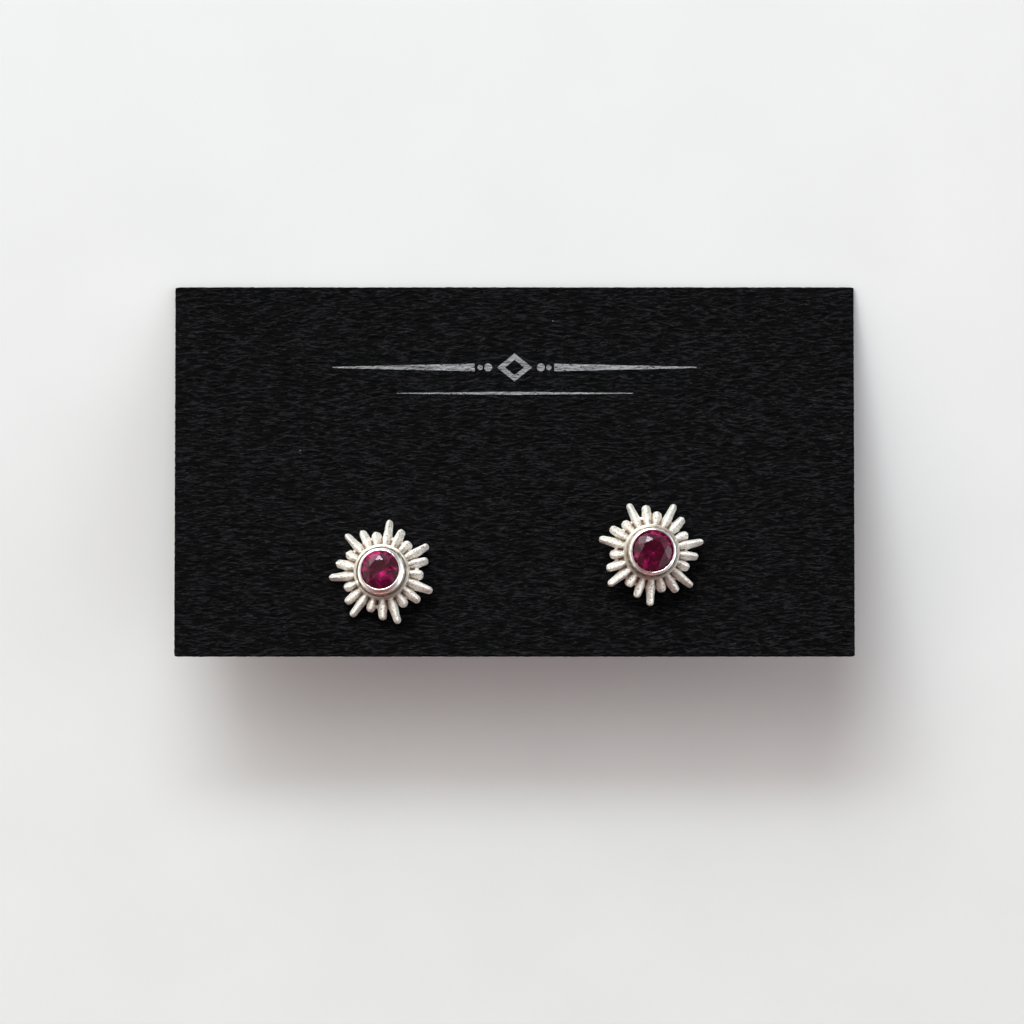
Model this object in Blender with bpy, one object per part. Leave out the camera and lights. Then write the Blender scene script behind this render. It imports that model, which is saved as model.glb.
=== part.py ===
"""A pair of sun-shaped stud earrings with red stones, pushed through the card that holds them.

The card leans: its top edge and the tips of the two posts touch the surface it lies on.
Metres, +Z up, +X to the right along the card, +Y towards the card's top edge. The origin is
under the middle of the whole pair and card, on the surface.
"""

import math
from collections import namedtuple

import bmesh
import bpy
from mathutils import Vector

MM = 0.001

# The card
CARD_WIDTH = 88.9 * MM
CARD_HEIGHT = 48.6 * MM
CARD_THICKNESS = 0.5 * MM
CARD_CORNER_RADIUS = 0.35 * MM
CARD_SIDE_SWELL = 0.05 * MM  # how far the cut sides stand out at half height
HOLE_CLEARANCE = 0.12 * MM  # between a post and the edge of its hole

# The sun: three lengths of ray in turn, on a ring
RAY_SETS = 7
RAY_REACH = {"long": 7.0 * MM, "medium": 6.2 * MM, "short": 5.35 * MM}
RAY_PARTING_RADIUS = 4.45 * MM  # where neighbouring rays come apart
RAY_TIP_LENGTH = 0.42 * MM  # how much of each ray's end is rounded
RAY_RIDGE_HEIGHT = 1.15 * MM
RAY_SIDE_HEIGHT = 0.45 * MM
COLLAR_RADIUS = 3.65 * MM
COLLAR_WIDTH = 0.36 * MM
COLLAR_HEIGHT = 1.34 * MM
SUN_CARD_GAP = 0.12 * MM  # from the lowest ray tip to the card

# The stones, round brilliants whose crowns differ a little, as hand-cut ones do
TABLE_SHARE = 0.55  # of the stone's diameter, as cutters give it
GIRDLE_THICKNESS = 0.12 * MM
CULET_DIAMETER = 0.2 * MM
PAVILION_ANGLE = math.radians(40.5)

# The bezel that holds it
STONE_CLEARANCE = 0.05 * MM
BEZEL_FLOOR_THICKNESS = 0.4 * MM
BEZEL_WALL_AT_RIM = 0.2 * MM
BEZEL_FOOT_DIAMETER = 6.54 * MM
LIP_COVER = 0.14 * MM  # how far the lip reaches over the stone's edge
LIP_THICKNESS = 0.09 * MM

# The post and the clutch on it
POST_DIAMETER = 0.84 * MM
POST_LENGTH = 11.4 * MM
SOLDER_FILLET = 0.25 * MM
CLUTCH_POST_CLEARANCE = 0.06 * MM
CLUTCH_SHEET = 0.28 * MM
CLUTCH_WIDTH = 3.0 * MM
CLUTCH_LOOP_RADIUS = 1.0 * MM  # to the middle of the sheet
CLUTCH_CARD_GAP = 0.15 * MM

# Where each post goes through the card: from the card's middle, and down from its top edge
LEFT_HOLE_ACROSS = -17.15 * MM
LEFT_HOLE_DOWN = 37.7 * MM
RIGHT_HOLE_ACROSS = 17.67 * MM
RIGHT_HOLE_DOWN = 35.0 * MM
LEFT_STONE_DIAMETER = 5.1 * MM
RIGHT_STONE_DIAMETER = 5.5 * MM

# How each stud leans out of the card in degrees, where its first long ray and one big facet of its
# stone point, how steep the stone's crown is, and the rays that stand a few degrees out of the
# even round
StudPlace = namedtuple(
    "StudPlace", "side across down stone lean_right lean_up long_ray facet crown astray"
)
STUD_PLACES = (
    StudPlace(
        side="left",
        across=LEFT_HOLE_ACROSS,
        down=LEFT_HOLE_DOWN,
        stone=LEFT_STONE_DIAMETER,
        lean_right=-5.6,
        lean_up=2.2,
        long_ray=82.0,
        facet=69.5,
        crown=28.5,
        astray={4: 1.5, 11: -1.5, 12: -1.8},
    ),
    StudPlace(
        side="right",
        across=RIGHT_HOLE_ACROSS,
        down=RIGHT_HOLE_DOWN,
        stone=RIGHT_STONE_DIAMETER,
        lean_right=3.8,
        lean_up=-2.1,
        long_ray=115.0,
        facet=88.5,
        crown=35.5,
        astray={1: -1.4, 5: -2.5, 18: -1.2},
    ),
)

# Along the longest ray: share of the way from where it parts to its end, then shares of the room
# it has where it parts, of the ridge height and of the side height. Shorter rays stop sooner.
RaySection = namedtuple("RaySection", "along width ridge side")
RAY_SECTIONS = (
    RaySection(along=0.00, width=1.02, ridge=1.00, side=1.00),
    RaySection(along=0.18, width=0.86, ridge=0.99, side=1.00),
    RaySection(along=0.37, width=0.75, ridge=0.97, side=1.00),
    RaySection(along=0.61, width=0.68, ridge=0.94, side=0.98),
    RaySection(along=1.00, width=0.56, ridge=0.86, side=0.95),
)
RAY_SHOULDER = (0.5, 0.68)  # shares of half the width and of the rise from side to ridge
TIP_STEPS_DEG = (35.0, 62.0, 82.0)
ROOT_OVERLAP = 1.05  # neighbouring rays run into each other by this much before they part

ROUND_STEPS = 48
POST_STEPS = 16
LOOP_STEPS = 12

RAY_COUNT = RAY_SETS * len(RAY_REACH)
RAY_PITCH = 2 * math.pi / RAY_COUNT
POST_RADIUS = POST_DIAMETER / 2
FACET_STEP = math.radians(22.5)


def clear_scene():
    for thing in list(bpy.data.objects):
        bpy.data.objects.remove(thing, do_unlink=True)


def material(name, colour, roughness, metallic=0.0, transmission=0.0):
    made = bpy.data.materials.new(name)
    made.use_nodes = True
    shader = made.node_tree.nodes["Principled BSDF"]
    shader.inputs["Base Color"].default_value = (*colour, 1.0)
    shader.inputs["Roughness"].default_value = roughness
    shader.inputs["Metallic"].default_value = metallic
    shader.inputs["Transmission Weight"].default_value = transmission
    made.diffuse_color = (*colour, 1.0)
    return made


def mesh_from(bm, name):
    """Finish a bmesh: points that fall together made one, faces turned outwards."""
    bmesh.ops.remove_doubles(bm, verts=bm.verts, dist=1e-7)
    bmesh.ops.recalc_face_normals(bm, faces=bm.faces)
    mesh = bpy.data.meshes.new(name)
    bm.to_mesh(mesh)
    bm.free()
    return mesh


def piece(name, mesh, finish, parent=None, location=(0, 0, 0), rotation=(0, 0, 0)):
    made = bpy.data.objects.new(name, mesh)
    bpy.context.scene.collection.objects.link(made)
    if mesh is not None and finish is not None and not mesh.materials:
        mesh.materials.append(finish)
    made.parent = parent
    made.location = location
    made.rotation_euler = rotation
    return made


def helper(name, mesh, collection=None, **place):
    """A shape that is only cut with, or joined on, and isn't a piece of its own."""
    made = piece(name, mesh, None, **place)
    made.hide_render = True
    made.display_type = "WIRE"
    if collection is not None:
        bpy.context.scene.collection.objects.unlink(made)
        collection.objects.link(made)
    return made


def turned(name, profile, steps):
    """The solid that a profile of (radius, height) points sweeps round the Z axis."""
    bm = bmesh.new()
    points = [bm.verts.new((radius, 0, height)) for radius, height in profile]
    edges = [bm.edges.new(pair) for pair in zip(points, points[1:])]
    bmesh.ops.spin(
        bm,
        geom=points + edges,
        cent=(0, 0, 0),
        axis=(0, 0, 1),
        angle=2 * math.pi,
        steps=steps,
        use_merge=True,
    )
    return mesh_from(bm, name)


def smooth(mesh, angle_deg):
    mesh.shade_smooth()
    mesh.set_sharp_from_angle(angle=math.radians(angle_deg))


def evaluated_copy(thing, name):
    """The mesh of an object with its modifiers worked out."""
    bpy.context.view_layer.update()
    graph = bpy.context.evaluated_depsgraph_get()
    mesh = bpy.data.meshes.new_from_object(thing.evaluated_get(graph))
    mesh.name = name
    return mesh


# A stone's radii and levels, as heights above the sun's flat back
Stone = namedtuple("Stone", "radius crown table star deep culet culet_level girdle_bottom girdle_top")


def cut_stone(place):
    radius = place.stone / 2
    table = TABLE_SHARE * radius
    culet = CULET_DIAMETER / 2
    culet_level = BEZEL_FLOOR_THICKNESS + STONE_CLEARANCE
    girdle_bottom = culet_level + (radius - culet) * math.tan(PAVILION_ANGLE)
    return Stone(
        radius=radius,
        crown=math.radians(place.crown),
        table=table,
        star=(table * math.cos(FACET_STEP) + radius) / 2,
        deep=radius / 4,
        culet=culet,
        culet_level=culet_level,
        girdle_bottom=girdle_bottom,
        girdle_top=girdle_bottom + GIRDLE_THICKNESS,
    )


def facet_rise(stone, radius, angle, slope):
    """How far from the girdle the plane of a big facet is, at this radius and turn from its middle."""
    return (stone.radius - radius * math.cos(angle)) * math.tan(slope)


def brilliant_mesh(name, stone):
    """A round brilliant: table, 8 stars, 8 kites and 16 halves above, 16 halves and 8 kites below."""
    bm = bmesh.new()

    def ring(radius, level, count, first):
        turns = [first + 2 * math.pi * index / count for index in range(count)]
        return [bm.verts.new((radius * math.cos(a), radius * math.sin(a), level)) for a in turns]

    table_level = stone.girdle_top + facet_rise(stone, stone.table, 0, stone.crown)
    star_level = stone.girdle_top + facet_rise(stone, stone.star, FACET_STEP, stone.crown)
    deep_level = stone.girdle_bottom - facet_rise(stone, stone.deep, FACET_STEP, PAVILION_ANGLE)
    table = ring(stone.table, table_level, 8, 0)
    stars = ring(stone.star, star_level, 8, FACET_STEP)
    upper = ring(stone.radius, stone.girdle_top, 16, 0)
    lower = ring(stone.radius, stone.girdle_bottom, 16, 0)
    deep = ring(stone.deep, deep_level, 8, FACET_STEP)
    culet = ring(stone.culet / math.cos(FACET_STEP), stone.culet_level, 8, FACET_STEP)
    bm.faces.new(table)
    bm.faces.new(culet)
    for k in range(8):
        after = (k + 1) % 8
        corner = 2 * k
        between = 2 * k + 1
        beyond = (2 * k + 2) % 16
        bm.faces.new((table[k], table[after], stars[k]))
        bm.faces.new((table[k], stars[k - 1], upper[corner], stars[k]))
        bm.faces.new((stars[k], upper[corner], upper[between]))
        bm.faces.new((stars[k], upper[between], upper[beyond]))
        bm.faces.new((upper[corner], upper[between], lower[between], lower[corner]))
        bm.faces.new((upper[between], upper[beyond], lower[beyond], lower[between]))
        bm.faces.new((deep[k], lower[corner], lower[between]))
        bm.faces.new((deep[k], lower[between], lower[beyond]))
        bm.faces.new((deep[k - 1], lower[corner], deep[k], culet[k], culet[k - 1]))
    return mesh_from(bm, name)


def setting_profile(stone):
    """The cup, its lip, the tapered outer wall, the collar and the flat back, from axis to axis."""
    crown_half_slope = facet_rise(stone, stone.star, FACET_STEP, stone.crown) / (stone.radius - stone.star)
    deep_drop = facet_rise(stone, stone.deep, FACET_STEP, PAVILION_ANGLE)
    pavilion_half_slope = deep_drop / (stone.radius - stone.deep)
    inner = stone.radius + STONE_CLEARANCE
    rim = inner + BEZEL_WALL_AT_RIM
    foot = BEZEL_FOOT_DIAMETER / 2
    seat = stone.girdle_bottom - STONE_CLEARANCE * (math.hypot(1, pavilion_half_slope) - pavilion_half_slope)
    floor_radius = max(inner - (seat - BEZEL_FLOOR_THICKNESS) / pavilion_half_slope, POST_RADIUS / 2)
    lip = stone.radius - LIP_COVER
    lip_width = rim - lip
    lip_foot = stone.girdle_top + STONE_CLEARANCE
    lip_edge = lip_foot + (inner - lip) * crown_half_slope
    lip_top = lip_edge + LIP_THICKNESS
    collar_middle = COLLAR_RADIUS - COLLAR_WIDTH / 2
    collar_round = COLLAR_WIDTH / 4
    collar_foot = COLLAR_HEIGHT - COLLAR_WIDTH / 3
    return (
        (0, BEZEL_FLOOR_THICKNESS),
        (floor_radius, BEZEL_FLOOR_THICKNESS),
        (inner, seat),
        (inner, lip_foot),
        (lip, lip_edge),
        (lip + 0.14 * lip_width, lip_top - 0.1 * LIP_THICKNESS),
        (lip + 0.4 * lip_width, lip_top),
        (lip + 0.72 * lip_width, lip_top - 0.25 * LIP_THICKNESS),
        (rim - 0.04 * lip_width, lip_top - LIP_THICKNESS),
        (rim, lip_foot - LIP_THICKNESS),
        (foot, collar_foot),
        (collar_middle - collar_round, COLLAR_HEIGHT),
        (collar_middle + collar_round, COLLAR_HEIGHT),
        (COLLAR_RADIUS, collar_foot),
        (COLLAR_RADIUS, 0),
        (0, 0),
    )


def post_profile():
    """The post with a soldered foot and a round tip, from inside the back plate down to the tip."""
    tip_centre = POST_RADIUS - POST_LENGTH
    tip = []
    for step in range(1, 5):
        turn = math.pi / 2 * step / 4
        tip.append((POST_RADIUS * math.cos(turn), tip_centre - POST_RADIUS * math.sin(turn)))
    tip[-1] = (0, -POST_LENGTH)
    return (
        (0, BEZEL_FLOOR_THICKNESS / 2),
        (POST_RADIUS + SOLDER_FILLET, BEZEL_FLOOR_THICKNESS / 2),
        (POST_RADIUS + SOLDER_FILLET, -0.08 * SOLDER_FILLET),
        (POST_RADIUS + 0.3 * SOLDER_FILLET, -0.35 * SOLDER_FILLET),
        (POST_RADIUS, -SOLDER_FILLET),
        (POST_RADIUS, tip_centre),
        *tip,
    )


def ray_outline(half_width, side, ridge):
    """One cross-section of a ray, looking outwards: flat back, upright sides, rounded gable."""
    shoulder_out, shoulder_up = RAY_SHOULDER
    shoulder = side + shoulder_up * (ridge - side)
    return (
        (-half_width, 0),
        (-half_width, side),
        (-shoulder_out * half_width, shoulder),
        (0, ridge),
        (shoulder_out * half_width, shoulder),
        (half_width, side),
        (half_width, 0),
    )


def ray_sizes_at(radius):
    """Half width, side height and ridge height of any ray at this distance from the axis."""
    free_length = max(RAY_REACH.values()) - RAY_PARTING_RADIUS
    room = RAY_PARTING_RADIUS * math.tan(RAY_PITCH / 2)
    along = (radius - RAY_PARTING_RADIUS) / free_length
    for low, high in zip(RAY_SECTIONS, RAY_SECTIONS[1:]):
        if along <= high.along:
            break
    share = (along - low.along) / (high.along - low.along)
    width, ridge, side = (
        getattr(low, name) + share * (getattr(high, name) - getattr(low, name))
        for name in ("width", "ridge", "side")
    )
    return room * width, RAY_SIDE_HEIGHT * side, RAY_RIDGE_HEIGHT * ridge


def ray_stations(reach):
    """Distance from the axis, half width, side height and ridge height along one ray."""
    free_length = max(RAY_REACH.values()) - RAY_PARTING_RADIUS
    root = COLLAR_RADIUS - COLLAR_WIDTH
    root_half = root * math.tan(RAY_PITCH / 2) * ROOT_OVERLAP
    round_from = reach - RAY_TIP_LENGTH
    stations = [(root, root_half, RAY_SIDE_HEIGHT, RAY_RIDGE_HEIGHT)]
    for section in RAY_SECTIONS:
        radius = RAY_PARTING_RADIUS + section.along * free_length
        if radius < round_from - RAY_TIP_LENGTH / 4:
            stations.append((radius, *ray_sizes_at(radius)))
    last_half, last_side, last_ridge = ray_sizes_at(round_from)
    stations.append((round_from, last_half, last_side, last_ridge))
    for turn_deg in TIP_STEPS_DEG:
        turn = math.radians(turn_deg)
        narrowed = math.cos(turn)
        ridge = last_side + (last_ridge - last_side) * narrowed**0.6
        radius = round_from + RAY_TIP_LENGTH * math.sin(turn) / math.sin(math.radians(TIP_STEPS_DEG[-1]))
        stations.append((radius, last_half * narrowed, last_side * (0.7 + 0.3 * narrowed), ridge))
    return stations


def ray_mesh(kind):
    bm = bmesh.new()
    rings = []
    for radius, half_width, side, ridge in ray_stations(RAY_REACH[kind]):
        outline = ray_outline(half_width, side, ridge)
        rings.append([bm.verts.new((radius, across, height)) for across, height in outline])
    for inner, outer in zip(rings, rings[1:]):
        count = len(inner)
        for k in range(count):
            after = (k + 1) % count
            bm.faces.new((inner[k], inner[after], outer[after], outer[k]))
    bm.faces.new(rings[0])
    bm.faces.new(rings[-1])
    return mesh_from(bm, "ray_" + kind)


def sun_stud_mesh(place, rays, post):
    """Setting, rays and post soldered into one, with the sun's flat back at height 0."""
    joined_on = bpy.data.collections.new(place.side + "_soldered_on")
    bpy.context.scene.collection.children.link(joined_on)
    for index in range(RAY_COUNT):
        mesh = rays[index % len(rays)]
        turn = math.radians(place.astray.get(index, 0)) - RAY_PITCH * index
        helper(f"{place.side}_ray_guide_{index}", mesh, joined_on, rotation=(0, 0, turn))
    helper(place.side + "_post_guide", post, joined_on)
    profile = setting_profile(cut_stone(place))
    setting = helper(place.side + "_setting_guide", turned("setting", profile, ROUND_STEPS))
    join = setting.modifiers.new("solder", "BOOLEAN")
    join.operation = "UNION"
    join.operand_type = "COLLECTION"
    join.collection = joined_on
    join.solver = "EXACT"
    join.use_self = True
    mesh = evaluated_copy(setting, place.side + "_stud")
    smooth(mesh, 35)
    return mesh


CLUTCH_REACH = POST_RADIUS + CLUTCH_POST_CLEARANCE + CLUTCH_SHEET / 2 + CLUTCH_LOOP_RADIUS


def clutch_mesh():
    """A butterfly clutch: one strip whose two ends roll round to grip the post, plate at height 0."""
    middle_line = []
    for step in range(LOOP_STEPS + 1):
        turn = math.pi / 2 - 1.5 * math.pi * step / LOOP_STEPS
        outwards = Vector((math.cos(turn), math.sin(turn)))
        point = Vector((CLUTCH_REACH, -CLUTCH_LOOP_RADIUS)) + CLUTCH_LOOP_RADIUS * outwards
        middle_line.append((point, outwards))
    mirrored = [(Vector((-p.x, p.y)), Vector((-n.x, n.y))) for p, n in reversed(middle_line)]
    strip = mirrored + middle_line
    outer = [point + normal * CLUTCH_SHEET / 2 for point, normal in strip]
    inner = [point - normal * CLUTCH_SHEET / 2 for point, normal in reversed(strip)]
    bm = bmesh.new()
    corners = [bm.verts.new((p.x, -CLUTCH_WIDTH / 2, p.y)) for p in outer + inner]
    sheet = bm.faces.new(corners)
    grown = bmesh.ops.extrude_face_region(bm, geom=[sheet])["geom"]
    moved = [item for item in grown if isinstance(item, bmesh.types.BMVert)]
    bmesh.ops.translate(bm, verts=moved, vec=(0, CLUTCH_WIDTH, 0))
    blank = helper("clutch_guide", mesh_from(bm, "clutch_blank"))
    hole_radius = POST_RADIUS + CLUTCH_POST_CLEARANCE
    drill = cylinder_helper("clutch_drill", hole_radius, 2 * CLUTCH_SHEET)
    cut_with(blank, drill)
    mesh = evaluated_copy(blank, "butterfly_clutch")
    smooth(mesh, 35)
    return mesh


def cylinder_helper(name, radius, length, **place):
    profile = ((0, length / 2), (radius, length / 2), (radius, -length / 2), (0, -length / 2))
    return helper(name, turned(name, profile, POST_STEPS), **place)


def cut_with(thing, cutter):
    cut = thing.modifiers.new("cut_" + cutter.name, "BOOLEAN")
    cut.operation = "DIFFERENCE"
    cut.object = cutter
    cut.solver = "EXACT"


def card_mesh():
    """The flat card, its top edge along the X axis and its back at height 0."""
    half_width = CARD_WIDTH / 2 - CARD_SIDE_SWELL
    outline = (
        (-half_width, 0),
        (-CARD_WIDTH / 2, -CARD_HEIGHT / 2),
        (-half_width, -CARD_HEIGHT),
        (half_width, -CARD_HEIGHT),
        (CARD_WIDTH / 2, -CARD_HEIGHT / 2),
        (half_width, 0),
    )
    bm = bmesh.new()
    corners = [bm.verts.new((x, y, 0)) for x, y in outline]
    halves = [
        bm.faces.new((corners[0], corners[1], corners[4], corners[5])),
        bm.faces.new((corners[1], corners[2], corners[3], corners[4])),
    ]
    grown = bmesh.ops.extrude_face_region(bm, geom=halves)["geom"]
    moved = [item for item in grown if isinstance(item, bmesh.types.BMVert)]
    bmesh.ops.translate(bm, verts=moved, vec=(0, 0, CARD_THICKNESS))
    uprights = []
    for edge in bm.edges:
        start, end = edge.verts
        upright = abs(start.co.z - end.co.z) > CARD_THICKNESS / 2
        at_a_corner = abs(start.co.y + CARD_HEIGHT / 2) > CARD_HEIGHT / 4
        if upright and at_a_corner:
            uprights.append(edge)
    bmesh.ops.bevel(
        bm,
        geom=uprights,
        offset=CARD_CORNER_RADIUS,
        segments=3,
        profile=0.5,
        affect="EDGES",
    )
    return mesh_from(bm, "card")


def lean_direction(place):
    """The way a leaning post points out of the card, in the card's own axes."""
    right = math.radians(place.lean_right)
    up = math.radians(place.lean_up)
    return Vector((math.cos(up) * math.sin(right), math.sin(up), math.cos(up) * math.cos(right)))


def least_rise(place):
    """Least distance along the post from the middle of the hole to the sun's back."""
    outwards = lean_direction(place)
    sideways = math.sqrt(1 - outwards.z**2)
    dip = max(RAY_REACH.values()) * sideways
    return (CARD_THICKNESS / 2 + SUN_CARD_GAP + dip) / outwards.z


def tip_reach(rise):
    """From the middle of the hole back along the post to the centre of its round tip."""
    return POST_LENGTH - POST_RADIUS - rise


def resting_tilt():
    """The card's tilt when its top edge and the post that holds it lowest both touch the surface."""
    tilts = []
    for place in STUD_PLACES:
        outwards = lean_direction(place)
        reach = tip_reach(least_rise(place))
        along = place.down + reach * outwards.y
        below = reach * outwards.z - CARD_THICKNESS / 2
        tilts.append(math.atan2(below, along) + math.asin(POST_RADIUS / math.hypot(along, below)))
    return min(tilts)


def resting_rise(place, tilt):
    """How far out a stud stands so that its post tip touches the surface at this tilt."""
    outwards = lean_direction(place)
    hole_height = place.down * math.sin(tilt) + CARD_THICKNESS / 2 * math.cos(tilt)
    reach = (hole_height - POST_RADIUS) / (outwards.z * math.cos(tilt) - outwards.y * math.sin(tilt))
    return POST_LENGTH - POST_RADIUS - reach


def clutch_drop(place):
    """From the middle of the hole back along the post to the middle of the clutch's plate."""
    outwards = lean_direction(place)
    sideways = math.sqrt(1 - outwards.z**2)
    half_diagonal = math.hypot(CLUTCH_REACH + CLUTCH_LOOP_RADIUS + CLUTCH_SHEET / 2, CLUTCH_WIDTH / 2)
    clear = CARD_THICKNESS / 2 + CLUTCH_CARD_GAP + half_diagonal * sideways
    return clear / outwards.z + CLUTCH_SHEET / 2


def build():
    clear_scene()
    board = material("black_board", (0.012, 0.012, 0.014), 0.9)
    silver = material("silver", (0.86, 0.84, 0.80), 0.3, metallic=1.0)
    red_stone = material("red_stone", (0.62, 0.01, 0.10), 0.02, transmission=0.7)
    rays = [ray_mesh(kind) for kind in RAY_REACH]
    post = turned("post", post_profile(), POST_STEPS)
    back_mesh = clutch_mesh()

    tilt = resting_tilt()
    middle_y = (CARD_HEIGHT * math.cos(tilt) - CARD_THICKNESS * math.sin(tilt)) / 2
    lean = piece("card_lean", None, None, location=(0, middle_y, 0), rotation=(-tilt, 0, 0))
    card = piece("card", card_mesh(), board, parent=lean)
    for place in STUD_PLACES:
        turn = math.radians(place.long_ray)
        stone_turn = math.radians(place.facet)
        rise = resting_rise(place, tilt)
        seat = piece(
            place.side + "_seat",
            None,
            None,
            parent=lean,
            location=(place.across, -place.down, CARD_THICKNESS / 2),
            rotation=(-math.radians(place.lean_up), math.radians(place.lean_right), 0),
        )
        out = (0, 0, rise)
        back = (0, 0, -clutch_drop(place))
        stud_mesh = sun_stud_mesh(place, rays, post)
        stone_mesh = brilliant_mesh(place.side + "_stone", cut_stone(place))
        piece(place.side + "_stud", stud_mesh, silver, seat, out, (0, 0, turn))
        piece(place.side + "_stone", stone_mesh, red_stone, seat, out, (0, 0, stone_turn))
        piece(place.side + "_clutch", back_mesh, silver, seat, back)
        hole_radius = POST_RADIUS + HOLE_CLEARANCE
        drill = cylinder_helper(place.side + "_drill", hole_radius, 6 * CARD_THICKNESS, parent=seat)
        cut_with(card, drill)


build()
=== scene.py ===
# %% [markdown]
# # A pair of sun-shaped stud earrings on their card
#
# The CAD part is a frame to work in: a card that leans on its top edge and on two post tips, and
# on it two studs, two stones and two clutches. This lesson dresses that frame. The silver and the
# card are modelled again with the detail that a cast and a cut surface have, and the faceted
# stones, whose flat facets are already right, only get a better material.

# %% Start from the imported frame
import math
import random
from collections import namedtuple
from contextlib import contextmanager

import bmesh
import bpy
import numpy as np
from mathutils import Matrix, Vector


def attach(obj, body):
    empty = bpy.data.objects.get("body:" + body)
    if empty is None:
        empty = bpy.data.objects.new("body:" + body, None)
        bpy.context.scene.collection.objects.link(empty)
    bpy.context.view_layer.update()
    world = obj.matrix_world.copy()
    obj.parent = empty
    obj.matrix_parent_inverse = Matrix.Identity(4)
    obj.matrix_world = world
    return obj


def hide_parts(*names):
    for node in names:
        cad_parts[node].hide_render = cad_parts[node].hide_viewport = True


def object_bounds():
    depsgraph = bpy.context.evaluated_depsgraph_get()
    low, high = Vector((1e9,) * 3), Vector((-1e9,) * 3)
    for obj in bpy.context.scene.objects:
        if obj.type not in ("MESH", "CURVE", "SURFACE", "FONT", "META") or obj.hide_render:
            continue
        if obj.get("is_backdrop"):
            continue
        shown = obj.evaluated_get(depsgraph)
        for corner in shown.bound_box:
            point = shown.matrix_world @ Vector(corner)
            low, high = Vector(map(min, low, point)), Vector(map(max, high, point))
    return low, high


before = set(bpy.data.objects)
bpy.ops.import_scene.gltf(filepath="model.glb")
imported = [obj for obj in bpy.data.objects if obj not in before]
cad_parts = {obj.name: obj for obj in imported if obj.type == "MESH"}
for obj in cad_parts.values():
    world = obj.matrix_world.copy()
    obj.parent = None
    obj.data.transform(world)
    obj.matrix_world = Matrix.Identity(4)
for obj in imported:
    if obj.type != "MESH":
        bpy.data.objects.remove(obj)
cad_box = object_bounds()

MM = 0.001
SIDES = ("left", "right")
X_AXIS = Vector((1, 0, 0))
UPRIGHT = Vector((0, 0, 1))
print("CAD nodes:", sorted(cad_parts))


# %% [markdown]
# ## Reading places off the frame
#
# Everything new has to sit where the CAD model has it. A flat place is found as its widest facet:
# on the card that is the front, on a cut stone it is the table. Its middle and its normal give
# the place and the way it faces, so nothing has to be typed in again.

# %% Facets of a CAD node
def points_of(node):
    """A CAD node's corners, one row each, in millimetres."""
    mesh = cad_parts[node].data
    flat = np.empty(3 * len(mesh.vertices))
    mesh.vertices.foreach_get("co", flat)
    return flat.reshape(-1, 3) / MM


def facets_of(node):
    """Middles in millimetres, normals and areas of a CAD node's faces."""
    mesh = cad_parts[node].data
    count = len(mesh.polygons)
    middles, normals, areas = np.empty(3 * count), np.empty(3 * count), np.empty(count)
    mesh.polygons.foreach_get("center", middles)
    mesh.polygons.foreach_get("normal", normals)
    mesh.polygons.foreach_get("area", areas)
    return middles.reshape(-1, 3) / MM, normals.reshape(-1, 3), areas


def widest_facet(node):
    """Middle and normal of the widest flat place that faces upwards."""
    middles, normals, areas = facets_of(node)
    up = normals[:, 2] > 0
    middles, normals, areas = middles[up], normals[up], areas[up]
    alike = normals @ normals.T > 0.99999
    widest = alike[(alike @ areas).argmax()]
    share = areas[widest] / areas[widest].sum()
    return Vector(share @ middles[widest]), Vector(share @ normals[widest]).normalized()


# %% The card's own axes
Board = namedtuple("Board", "width height thickness front place")


def read_card():
    """The card's size and the matrix that lays a flat card, drawn in millimetres, in its place."""
    _, front = widest_facet("card")
    up = front.cross(X_AXIS)
    points = points_of("card")
    along, above, across = points @ np.array(up), points @ np.array(front), points[:, 0]
    corner = up * along.max() + front * above.min()
    turn = Matrix((X_AXIS, up, front)).transposed().to_4x4()
    place = Matrix.Scale(MM, 4) @ Matrix.Translation(corner) @ turn
    return Board(np.ptp(across), np.ptp(along), np.ptp(above), front, place)


card = read_card()
print(f"card {card.width:.1f} x {card.height:.1f} x {card.thickness:.2f} mm")
print("its front faces", [round(part, 3) for part in card.front])

# %% The two studs' own axes
RAY_COUNT = 21
RAY_PITCH = 2 * math.pi / RAY_COUNT
Ray = namedtuple("Ray", "turn reach")
Stud = namedtuple("Stud", "side place stone_radius lip_top rays tip_level")


def read_stud(side):
    """Where a stud is, how big its stone is, and where its rays point and end."""
    middle, axis = widest_facet(side + "_stone")
    stone = points_of(side + "_stone") - np.array(middle)
    metal = points_of(side + "_stud") - np.array(middle)
    middles, normals, areas = facets_of(side + "_stud")
    back = normals @ np.array(axis) < -0.999
    levels = (middles[back] - np.array(middle)) @ np.array(axis)
    foot = np.average(levels, weights=areas[back])
    origin = middle + axis * foot
    up = axis.cross(X_AXIS).normalized()
    right = up.cross(axis)
    turn = Matrix((right, up, axis)).transposed().to_4x4()
    flat = metal @ np.array(turn.to_3x3())
    reach = np.hypot(flat[:, 0], flat[:, 1])
    angle = np.arctan2(flat[:, 1], flat[:, 0])
    first = angle[reach.argmax()]
    rays = []
    for number in range(RAY_COUNT):
        off = (angle - first - number * RAY_PITCH + math.pi) % (2 * math.pi) - math.pi
        near = np.abs(off) < RAY_PITCH / 2
        end = near & (reach > reach[near].max() - 0.02)
        rays.append(Ray(first + number * RAY_PITCH + off[end].mean(), reach[end].max()))
    return Stud(
        side=side,
        place=Matrix.Scale(MM, 4) @ Matrix.Translation(origin) @ turn,
        stone_radius=np.linalg.norm(np.cross(stone, np.array(axis)), axis=1).max(),
        lip_top=flat[:, 2].max() - foot,
        rays=rays,
        tip_level=flat[:, 2].min() - foot,
    )


studs = [read_stud(side) for side in SIDES]
for stud in studs:
    print(f"{stud.side} stone {2 * stud.stone_radius:.2f} mm, lip at {stud.lip_top:.2f} mm")
    print("  rays reach", [round(float(ray.reach), 2) for ray in stud.rays])


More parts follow.
